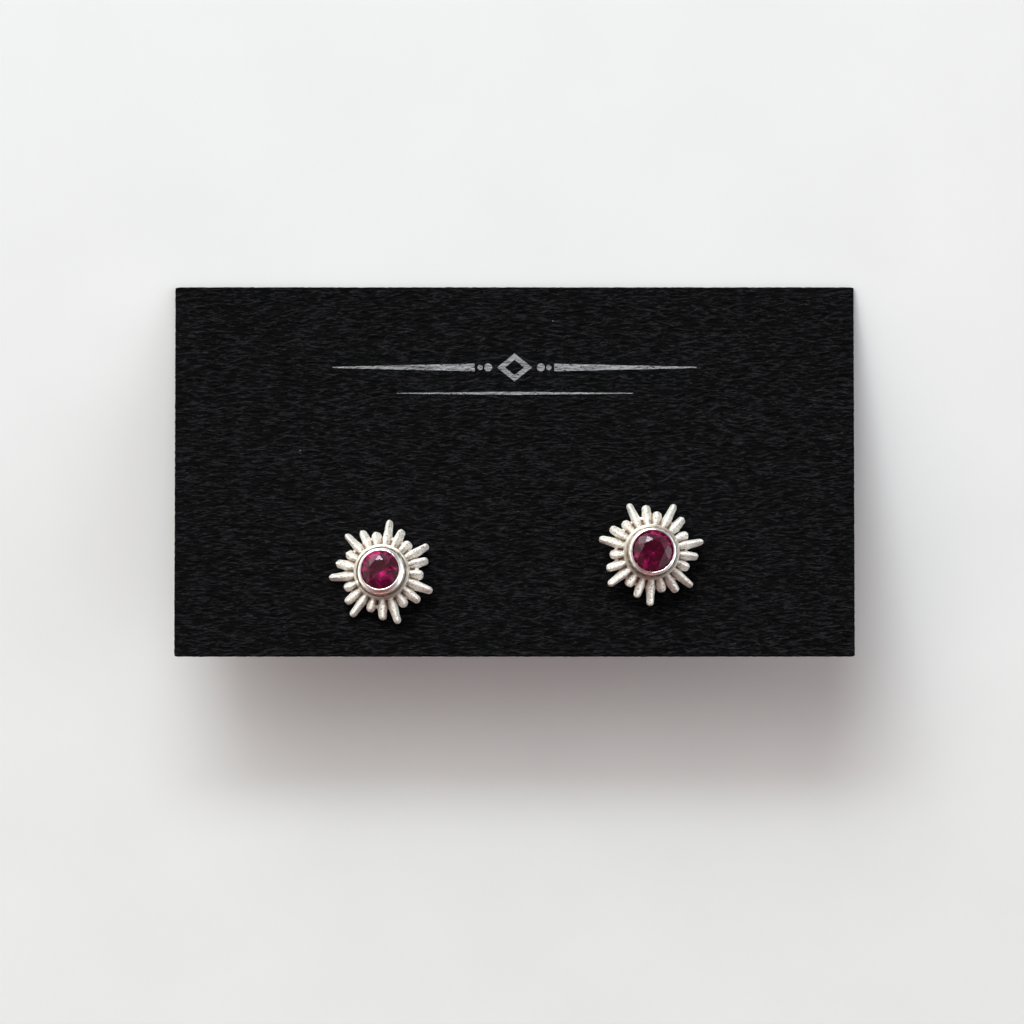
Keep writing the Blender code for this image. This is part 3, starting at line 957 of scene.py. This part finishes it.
def new_group(name, inputs, outputs):
    """A shader group with plain number inputs, each with its usual value, and number outputs."""
    group = bpy.data.node_groups.new(name, "ShaderNodeTree")
    for label, usual in inputs.items():
        socket = group.interface.new_socket(label, in_out="INPUT", socket_type="NodeSocketFloat")
        socket.default_value = usual
    for label in outputs:
        group.interface.new_socket(label, in_out="OUTPUT", socket_type="NodeSocketFloat")
    return group, group.nodes.new("NodeGroupInput"), group.nodes.new("NodeGroupOutput")


def use_group(tree, group, **values):
    made = tree.nodes.new("ShaderNodeGroup")
    made.node_tree = group
    for name, value in values.items():
        made.inputs[name.replace("_", " ").capitalize()].default_value = value
    return made


def object_place(tree, turn=(0, 0, 0), stretch=(1, 1, 1)):
    """Object coordinates in millimetres, turned and stretched."""
    source = place_node(tree, "ShaderNodeTexCoord")
    mapping = place_node(tree, "ShaderNodeMapping")
    mapping.inputs["Rotation"].default_value = turn
    mapping.inputs["Scale"].default_value = [1 / MM / length for length in stretch]
    tree.links.new(source.outputs["Object"], mapping.inputs["Vector"])
    return mapping.outputs["Vector"]


def noise_value(tree, scale, detail, place=None, seed=None):
    """Noise with lumps about 1 / scale mm wide, or read in a place of its own with its own seed."""
    dimensions = "3D" if seed is None else "4D"
    noise = place_node(
        tree, "ShaderNodeTexNoise", {"Scale": scale, "Detail": detail}, noise_dimensions=dimensions
    )
    if seed is not None:
        noise.inputs["W"].default_value = seed
    tree.links.new(place or object_place(tree), noise.inputs["Vector"])
    return noise.outputs["Fac"]


def roughen(tree, shader, height, strength, distance):
    """Lead a height into the shader as a bump this deep in millimetres."""
    bump = place_node(tree, "ShaderNodeBump", {"Strength": strength, "Distance": distance * MM})
    tree.links.new(height, bump.inputs["Height"])
    tree.links.new(bump.outputs["Normal"], shader.inputs["Normal"])


# %% Handled silver: scratches and dull clouds
def make_handled_group():
    group, given, result = new_group(
        "handled_silver",
        {"Scratch depth": 0.5, "Roughness": 0.2, "Dullness": 0.1},
        ("Roughness", "Height"),
    )
    scratches = []
    for turn, seed in ((0.5, 0.0), (-0.9, 7.3), (2.2, 3.1)):
        place = object_place(group, turn=(0, 0, turn), stretch=(1.0, 0.045, 0.3))
        lines = noise_value(group, 1.4, 2.0, place, seed)
        scratches.append(spread_node(group, lines, 0.60, 0.72))
    deepest = highest_of(group, scratches)
    dull = spread_node(group, noise_value(group, 0.9, 4.0), 0.35, 0.7)
    extra = math_node(group, "MULTIPLY", dull, given.outputs["Dullness"])
    rough = math_node(group, "ADD", given.outputs["Roughness"], extra)
    scratched = math_node(group, "MULTIPLY_ADD", deepest, 0.12, rough)
    group.links.new(scratched, result.inputs["Roughness"])
    sunk = math_node(group, "MULTIPLY", deepest, given.outputs["Scratch depth"])
    group.links.new(math_node(group, "SUBTRACT", 1.0, sunk), result.inputs["Height"])
    return group


handled_silver = make_handled_group()
print("handled_silver gives", [socket.name for socket in handled_silver.interface.items_tree])


# %% [markdown]
# ## Silver
#
# The silvers differ in how they were worked, and two of them carry painted shade. The sun is as cast,
# frosted by fine grit, with brown pits, and painted darker and browner as shade in its hollows. The lip
# was burnished, so it is nearly a mirror. The collar is satin, and its colour is a darker copy of the
# silver, painted shade for the groove at the foot of the cup. The post and the clutch are drawn and
# rolled metal, plain and fairly bright.

# %% Cast silver
CAST_BRIGHT = (1.0, 0.97, 0.92)
# The hollow colour is painted shade: darker, browner silver laid into the valleys between the rays
CAST_HOLLOW_SHADE = (0.47, 0.35, 0.27)
CAST_PIT = (0.38, 0.265, 0.195)


def cast_silver():
    material, tree, shader = new_material("cast_silver", {"Metallic": 1.0})
    hollow = place_node(tree, "ShaderNodeAttribute", attribute_name="hollow")
    # The deeper a point lies in a hollow, the more painted shade it gets
    depth = spread_node(tree, hollow.outputs["Fac"], 0.15, 1.0)
    grit = noise_value(tree, 4.4, 4.0)
    pits = spread_node(tree, grit, 0.44, 0.33, 0.0, 0.9)
    pitted = mix_colours(tree, pits, CAST_BRIGHT, CAST_PIT)
    tree.links.new(mix_colours(tree, depth, pitted, CAST_HOLLOW_SHADE), shader.inputs["Base Color"])
    wear = use_group(tree, handled_silver, scratch_depth=0.5, roughness=0.54, dullness=0.08)
    rough = math_node(tree, "MULTIPLY_ADD", depth, 0.15, wear.outputs["Roughness"])
    tree.links.new(rough, shader.inputs["Roughness"])
    worn = math_node(tree, "MULTIPLY", wear.outputs["Height"], 0.3)
    roughen(tree, shader, math_node(tree, "ADD", grit, worn), 1.0, 0.26)
    return material


# %% Burnished and drawn silver
CLOUDED = 0.82
SCRATCH_BUMP = 0.01


def worked_silver(name, colour, roughness, dullness, scratch_depth, bump_strength):
    material, tree, shader = new_material(name, {"Metallic": 1.0})
    wear = use_group(
        tree, handled_silver, scratch_depth=scratch_depth, roughness=roughness, dullness=dullness
    )
    tree.links.new(wear.outputs["Roughness"], shader.inputs["Roughness"])
    clouds = spread_node(tree, noise_value(tree, 1.6, 3.0), 0.4, 0.75)
    duller = tuple(part * CLOUDED for part in colour)
    tree.links.new(mix_colours(tree, clouds, colour, duller), shader.inputs["Base Color"])
    roughen(tree, shader, wear.outputs["Height"], bump_strength, SCRATCH_BUMP)
    return material


def coat(thing, material):
    """Give a piece one finish, in place of any slots that its modelling left."""
    thing.data.materials.clear()
    thing.data.materials.append(material)


sun_silver = cast_silver()
lip_silver = worked_silver(
    "burnished_silver",
    colour=(0.96, 0.93, 0.90),
    roughness=0.12,
    dullness=0.08,
    scratch_depth=0.3,
    bump_strength=0.15,
)
# The collar's satin finish is its own; its darker, browner colour is painted shade for the groove at the foot
# of the cup
shaded_collar_silver = worked_silver(
    "satin_shaded_silver",
    colour=(0.62, 0.56, 0.49),
    roughness=0.32,
    dullness=0.1,
    scratch_depth=0.3,
    bump_strength=0.2,
)
wire_silver = worked_silver(
    "drawn_silver",
    colour=(0.88, 0.86, 0.83),
    roughness=0.18,
    dullness=0.12,
    scratch_depth=0.5,
    bump_strength=0.2,
)
for stud in studs:
    coat(suns[stud.side], sun_silver)
    coat(bezels[stud.side], lip_silver)
    coat(collars[stud.side], shaded_collar_silver)
    coat(posts[stud.side], wire_silver)
    coat(clutches[stud.side], wire_silver)
print("silvers:", sun_silver.name, lip_silver.name, shaded_collar_silver.name, wire_silver.name)


# %% [markdown]
# ## The red stones
#
# A ruby-red stone is clear glass to Blender, with a high index of refraction so that its back
# facets act as mirrors. Natural colour is never quite even: a soft cloud of paler red drifts
# through it, and fine traces of wear and of silk inside it blur the facets. Its gloss is held down
# a little, as a film of handling does.

# %% Red stone
STONE_RED = (0.24, 0.001, 0.058)
STONE_PALER = (0.33, 0.003, 0.088)
STONE_IOR = 1.77
STONE_GLOSS = (0.46, 0.38, 0.42)


def red_stone():
    glassy = {"Transmission Weight": 1.0, "IOR": STONE_IOR, "Specular Tint": (*STONE_GLOSS, 1)}
    material, tree, shader = new_material("ruby_red", glassy)
    zoning = spread_node(tree, noise_value(tree, 0.5, 2.0), 0.35, 0.7)
    tree.links.new(mix_colours(tree, zoning, STONE_RED, STONE_PALER), shader.inputs["Base Color"])
    traces = spread_node(tree, noise_value(tree, 6.0, 3.0), 0.4, 0.8, 0.07, 0.16)
    tree.links.new(traces, shader.inputs["Roughness"])
    return material


ruby = red_stone()
for side in SIDES:
    coat(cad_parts[side + "_stone"], ruby)
print("stone:", ruby.name)


# %% [markdown]
# ## The black felted board
#
# The board is dyed nearly black. Its ridges are in the mesh already. The material adds the finer
# felt marks, with near-black painted shade in the valleys between them, and the single fibres, some a
# little paler. Both come from one group of crossing strokes, used at two sizes. Then come a few undyed
# specks and a pale grey printed ornament: a swelled rule with a lozenge and dots, and a thin rule below
# it. The ink lies only on the highest fibres, so the same relief that shapes the felt also breaks up
# the ink.

# %% Short fibres
def make_fibre_group():
    group, given, result = new_group(
        "short_fibres", {"Fibre length": 1.4, "Fibre width": 0.09, "Crossing": 1.0}, ("Height", "Pale")
    )
    layers = []
    for turn, seed in ((-0.06, 0.0), (0.35, 4.2), (-0.5, 9.1)):
        source = place_node(group, "ShaderNodeTexCoord")
        turned = place_node(group, "ShaderNodeVectorRotate", rotation_type="Z_AXIS")
        group.links.new(math_node(group, "MULTIPLY", turn, given.outputs["Crossing"]), turned.inputs["Angle"])
        group.links.new(source.outputs["Object"], turned.inputs["Vector"])
        lengths = place_node(group, "ShaderNodeCombineXYZ")
        for name, label in (("X", "Fibre length"), ("Y", "Fibre width"), ("Z", "Fibre width")):
            group.links.new(math_node(group, "DIVIDE", 1 / MM, given.outputs[label]), lengths.inputs[name])
        stretched = place_node(group, "ShaderNodeVectorMath", operation="MULTIPLY")
        group.links.new(turned.outputs["Vector"], stretched.inputs[0])
        group.links.new(lengths.outputs["Vector"], stretched.inputs[1])
        layers.append(noise_value(group, 1.0, 2.0, stretched.outputs["Vector"], seed))
    highest = highest_of(group, layers)
    group.links.new(highest, result.inputs["Height"])
    group.links.new(spread_node(group, highest, 0.58, 0.74), result.inputs["Pale"])
    return group


short_fibres = make_fibre_group()
print("short_fibres gives", [socket.name for socket in short_fibres.interface.items_tree])

# %% The printed ornament
ORNAMENT_DOWN = 10.6
RULE_FROM, RULE_TO = 5.2, 23.8
RULE_HALF_THICKNESS, RULE_TIP = 0.5, 0.07
LOZENGE_OUTER, LOZENGE_INNER, LOZENGE_FLATNESS = 2.3, 1.25, 1.25
DOTS = ((3.45, 0.52), (4.5, 0.34))
LOWER_RULE_DROP, LOWER_RULE_TO = 3.4, 15.5
LOWER_RULE_HALF_THICKNESS, LOWER_RULE_TIP = 0.2, 0.04


def ornament_mask(tree):
    """1 where the ornament is inked: the card's own x and y in millimetres, and simple shapes in them."""
    source = place_node(tree, "ShaderNodeTexCoord")
    flat = place_node(tree, "ShaderNodeMapping", vector_type="TEXTURE")
    middle = card.place @ Vector((0, -ORNAMENT_DOWN, card.thickness))
    flat.inputs["Location"].default_value = middle
    flat.inputs["Rotation"].default_value = card.place.to_euler()
    flat.inputs["Scale"].default_value = (MM, MM, MM)
    tree.links.new(source.outputs["Object"], flat.inputs["Vector"])
    split = place_node(tree, "ShaderNodeSeparateXYZ")
    tree.links.new(flat.outputs["Vector"], split.inputs["Vector"])
    across = math_node(tree, "ABSOLUTE", split.outputs["X"])
    up = split.outputs["Y"]
    off_line = math_node(tree, "ABSOLUTE", up)
    swell = spread_node(tree, across, RULE_FROM, RULE_TO, RULE_HALF_THICKNESS, RULE_TIP)
    rule = (
        math_node(tree, "LESS_THAN", off_line, swell),
        math_node(tree, "LESS_THAN", across, RULE_TO),
        math_node(tree, "GREATER_THAN", across, RULE_FROM),
    )
    slanted = math_node(tree, "MULTIPLY_ADD", off_line, LOZENGE_FLATNESS, across)
    lozenge = (
        math_node(tree, "LESS_THAN", slanted, LOZENGE_OUTER),
        math_node(tree, "GREATER_THAN", slanted, LOZENGE_INNER),
    )
    below = math_node(tree, "ABSOLUTE", math_node(tree, "ADD", up, LOWER_RULE_DROP))
    thin = spread_node(tree, across, 0.0, LOWER_RULE_TO, LOWER_RULE_HALF_THICKNESS, LOWER_RULE_TIP)
    lower_rule = (
        math_node(tree, "LESS_THAN", below, thin),
        math_node(tree, "LESS_THAN", across, LOWER_RULE_TO),
    )
    shapes = [all_of(tree, shape) for shape in (rule, lozenge, lower_rule)]
    for out, size in DOTS:
        beside = math_node(tree, "SUBTRACT", across, out)
        beside_squared = math_node(tree, "MULTIPLY", beside, beside)
        from_dot_squared = math_node(tree, "MULTIPLY_ADD", off_line, off_line, beside_squared)
        shapes.append(math_node(tree, "LESS_THAN", from_dot_squared, size**2))
    return highest_of(tree, shapes)


# %% Black board
BOARD_BLACK = (0.0085, 0.0082, 0.0096)
BOARD_FIBRE = (0.033, 0.0315, 0.036)
# The valley colour is painted shade, near-black, laid between the raised felt
BOARD_VALLEY_SHADE = (0.0004, 0.0004, 0.0005)
BOARD_SHEEN = 0.075
BOARD_SPECK = (0.17, 0.17, 0.17)
INK_GREY = (0.30, 0.30, 0.31)


def black_board():
    material, tree, shader = new_material("black_felted_board", {"Specular IOR Level": BOARD_SHEEN})
    fibres = use_group(tree, short_fibres)
    wavy = use_group(tree, short_fibres, fibre_length=1.7, fibre_width=0.27, crossing=0.4)
    # The lower the felt lies, the more painted shade it gets
    raised = spread_node(tree, wavy.outputs["Height"], 0.555, 0.66)
    lit = mix_colours(tree, fibres.outputs["Pale"], BOARD_BLACK, BOARD_FIBRE)
    shaded_felt = mix_colours(tree, raised, BOARD_VALLEY_SHADE, lit)
    specks = place_node(tree, "ShaderNodeTexVoronoi", {"Scale": 0.3})
    tree.links.new(object_place(tree), specks.inputs["Vector"])
    on_speck = spread_node(tree, specks.outputs["Distance"], 0.028, 0.02)
    chosen = math_node(tree, "GREATER_THAN", specks.outputs["Color"], 0.62)
    specked = mix_colours(tree, math_node(tree, "MULTIPLY", on_speck, chosen), shaded_felt, BOARD_SPECK)
    held = spread_node(tree, fibres.outputs["Height"], 0.46, 0.56)
    inked = math_node(tree, "MULTIPLY", ornament_mask(tree), held)
    tree.links.new(mix_colours(tree, inked, specked, INK_GREY), shader.inputs["Base Color"])
    rough = spread_node(tree, fibres.outputs["Height"], 0.4, 0.75, 0.95, 0.7)
    tree.links.new(rough, shader.inputs["Roughness"])
    height = math_node(tree, "MULTIPLY_ADD", wavy.outputs["Height"], 8.0, fibres.outputs["Height"])
    roughen(tree, shader, height, 1.0, 0.07)
    return material


board_black = black_board()
coat(board, board_black)
print("board:", board_black.name)


# %% [markdown]
# ## Joining the pieces to the frame
#
# Every new piece rides on the part's one body, and the CAD node that it stands for is hidden. The
# sun, bezel, collar and post of a stud are soldered together on the real thing and are one CAD node,
# and together they replace it.

# %% Ride and replace
for stud in studs:
    side = stud.side
    for piece in (suns[side], bezels[side], collars[side], posts[side]):
        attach(piece, "root")
        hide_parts(side + "_stud")
    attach(clutches[side], "root")
    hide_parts(side + "_clutch")
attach(board, "root")
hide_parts("card")


# %% [markdown]
# ## The surface, the light and the camera
#
# The card lies on a pale matt surface. A low wide window on the far side, a little to the left,
# casts the soft shadow under the card's raised edge, and the bright wall around it softens that
# shadow further. Polished metal also mirrors what hardly lights the floor: a pale side to the
# right, a warmer one to the left, and a dim red-brown one behind the camera, which gives the lower
# flanks of the rays their copper tone. The camera itself sees only a plain pale room.

# %% The surface
FLOOR_SIZE = 3.0
FLOOR_WHITE = (0.80, 0.80, 0.80)
FLOOR_SHADE = (0.775, 0.775, 0.775)


def pale_surface():
    bpy.ops.object.select_all(action="DESELECT")
    bpy.ops.mesh.primitive_plane_add(size=FLOOR_SIZE)
    floor = added("surface")
    matt = {"Roughness": 0.6, "Specular IOR Level": 0.2}
    material, tree, shader = new_material("pale_surface", matt)
    clouds = spread_node(tree, noise_value(tree, 0.05, 5.0), 0.3, 0.7)
    tree.links.new(mix_colours(tree, clouds, FLOOR_WHITE, FLOOR_SHADE), shader.inputs["Base Color"])
    coat(floor, material)
    floor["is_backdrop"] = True
    return floor


floor = pale_surface()
print("surface", FLOOR_SIZE, "m wide, in", floor.data.materials[0].name)

# %% The window
WINDOW_DISTANCE = 0.9
WINDOW_ELEVATION_DEG = 31.5
WINDOW_LEFT_DEG = 10
WINDOW_WIDTH = 0.655
WINDOW_HEIGHT = 0.142
WINDOW_POWER = 4.8
WINDOW_COLOUR = (0.83, 0.93, 0.98)


def toward(elevation_deg, left_deg):
    """The direction that is this high above the floor and this far left of the card's top edge."""
    up, left = math.radians(elevation_deg), math.radians(left_deg)
    return Vector((-math.sin(left) * math.cos(up), math.cos(left) * math.cos(up), math.sin(up)))


def hang_window():
    light = bpy.data.lights.new("window", "AREA")
    light.shape = "RECTANGLE"
    light.size, light.size_y = WINDOW_WIDTH, WINDOW_HEIGHT
    light.energy = WINDOW_POWER
    light.color = WINDOW_COLOUR
    window = bpy.data.objects.new("window", light)
    bpy.context.scene.collection.objects.link(window)
    direction = toward(WINDOW_ELEVATION_DEG, WINDOW_LEFT_DEG)
    window.location = direction * WINDOW_DISTANCE
    window.rotation_euler = direction.to_track_quat("Z", "Y").to_euler()
    return window


window = hang_window()
print("window at", [round(v, 2) for v in window.location], "m")

# %% The room
# Light that comes from each side of the room, beside the window's own
Glow = namedtuple("Glow", "elevation_deg left_deg spread_deg colour")
ROOM_GLOWS = (
    Glow(elevation_deg=24, left_deg=24, spread_deg=17, colour=(6.15, 6.5, 6.2)),
    Glow(elevation_deg=6, left_deg=-90, spread_deg=25, colour=(2.5, 2.8, 2.9)),
    Glow(elevation_deg=2, left_deg=90, spread_deg=26, colour=(1.8, 1.75, 1.6)),
    Glow(elevation_deg=4, left_deg=180, spread_deg=22, colour=(0.58, 0.22, 0.18)),
)
ROOM_DIM = (0.07, 0.02, 0.025)
ROOM_SEEN = (0.90, 0.90, 0.89)


def add_scaled(tree, total, value, colour):
    """A colour, scaled by a value, on top of the total so far."""
    made = place_node(tree, "ShaderNodeVectorMath", operation="MULTIPLY_ADD")
    tree.links.new(value, made.inputs[0])
    made.inputs[1].default_value = colour
    if isinstance(total, bpy.types.NodeSocket):
        tree.links.new(total, made.inputs[2])
    else:
        made.inputs[2].default_value = total
    return made.outputs["Vector"]


def build_room():
    world = bpy.data.worlds.new("pale_room")
    bpy.context.scene.world = world
    world.use_nodes = True
    tree = world.node_tree
    tree.nodes.clear()
    source = place_node(tree, "ShaderNodeTexCoord")
    light = ROOM_DIM
    for glow in ROOM_GLOWS:
        facing = place_node(tree, "ShaderNodeVectorMath", operation="DOT_PRODUCT")
        facing.inputs[1].default_value = toward(glow.elevation_deg, glow.left_deg)
        tree.links.new(source.outputs["Generated"], facing.inputs[0])
        off = math_node(tree, "SUBTRACT", facing.outputs["Value"], 1.0)
        fall = math_node(tree, "DIVIDE", off, math.radians(glow.spread_deg) ** 2)
        light = add_scaled(tree, light, math_node(tree, "EXPONENT", fall), glow.colour)
    lit = place_node(tree, "ShaderNodeBackground")
    tree.links.new(light, lit.inputs["Color"])
    seen = place_node(tree, "ShaderNodeBackground", {"Color": (*ROOM_SEEN, 1)})
    path = place_node(tree, "ShaderNodeLightPath")
    whole = place_node(tree, "ShaderNodeMixShader")
    tree.links.new(path.outputs["Is Camera Ray"], whole.inputs[0])
    tree.links.new(lit.outputs[0], whole.inputs[1])
    tree.links.new(seen.outputs[0], whole.inputs[2])
    result = place_node(tree, "ShaderNodeOutputWorld")
    tree.links.new(whole.outputs[0], result.inputs["Surface"])
    return world


room = build_room()
print("room:", room.name, "with", len(ROOM_GLOWS), "glows")

# %% The camera
CAMERA_DISTANCE = 1.2
SENSOR = 36.0
PICTURE = 1024
PIXELS_PER_MM = 7.65
CARD_MIDDLE_PIXEL = (514.5, 471.5)
CAMERA_BELOW_CARD_NORMAL_DEG = 5.5


def set_camera():
    data = bpy.data.cameras.new("camera")
    data.sensor_width = SENSOR
    data.lens = SENSOR * CAMERA_DISTANCE * PIXELS_PER_MM / MM / PICTURE
    data.clip_end = 10
    camera = bpy.data.objects.new("camera", data)
    bpy.context.scene.collection.objects.link(camera)
    tilt = math.acos(card.front.z) - math.radians(CAMERA_BELOW_CARD_NORMAL_DEG)
    back = Vector((0, math.sin(tilt), math.cos(tilt)))
    up = Vector((0, math.cos(tilt), -math.sin(tilt)))
    middle = card.place @ Vector((0, -card.height / 2, card.thickness))
    right_by = (PICTURE / 2 - CARD_MIDDLE_PIXEL[0]) / PIXELS_PER_MM * MM
    up_by = (CARD_MIDDLE_PIXEL[1] - PICTURE / 2) / PIXELS_PER_MM * MM
    camera.location = middle + X_AXIS * right_by + up * up_by + back * CAMERA_DISTANCE
    camera.rotation_euler = (-tilt, 0, 0)
    bpy.context.scene.camera = camera
    return camera


camera = set_camera()
bpy.context.scene.view_settings.view_transform = "Standard"
tilted = math.degrees(-camera.rotation_euler.x)
print("camera lens", round(camera.data.lens, 1), "mm, tilted", round(tilted, 2), "degrees")

# %% Print both boxes and finish
boxes = {"cad": [list(corner) for corner in cad_box], "visual": [list(corner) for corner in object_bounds()]}
for name, box in boxes.items():
    print(name, "box in mm:", [[round(v / MM, 2) for v in corner] for corner in box])
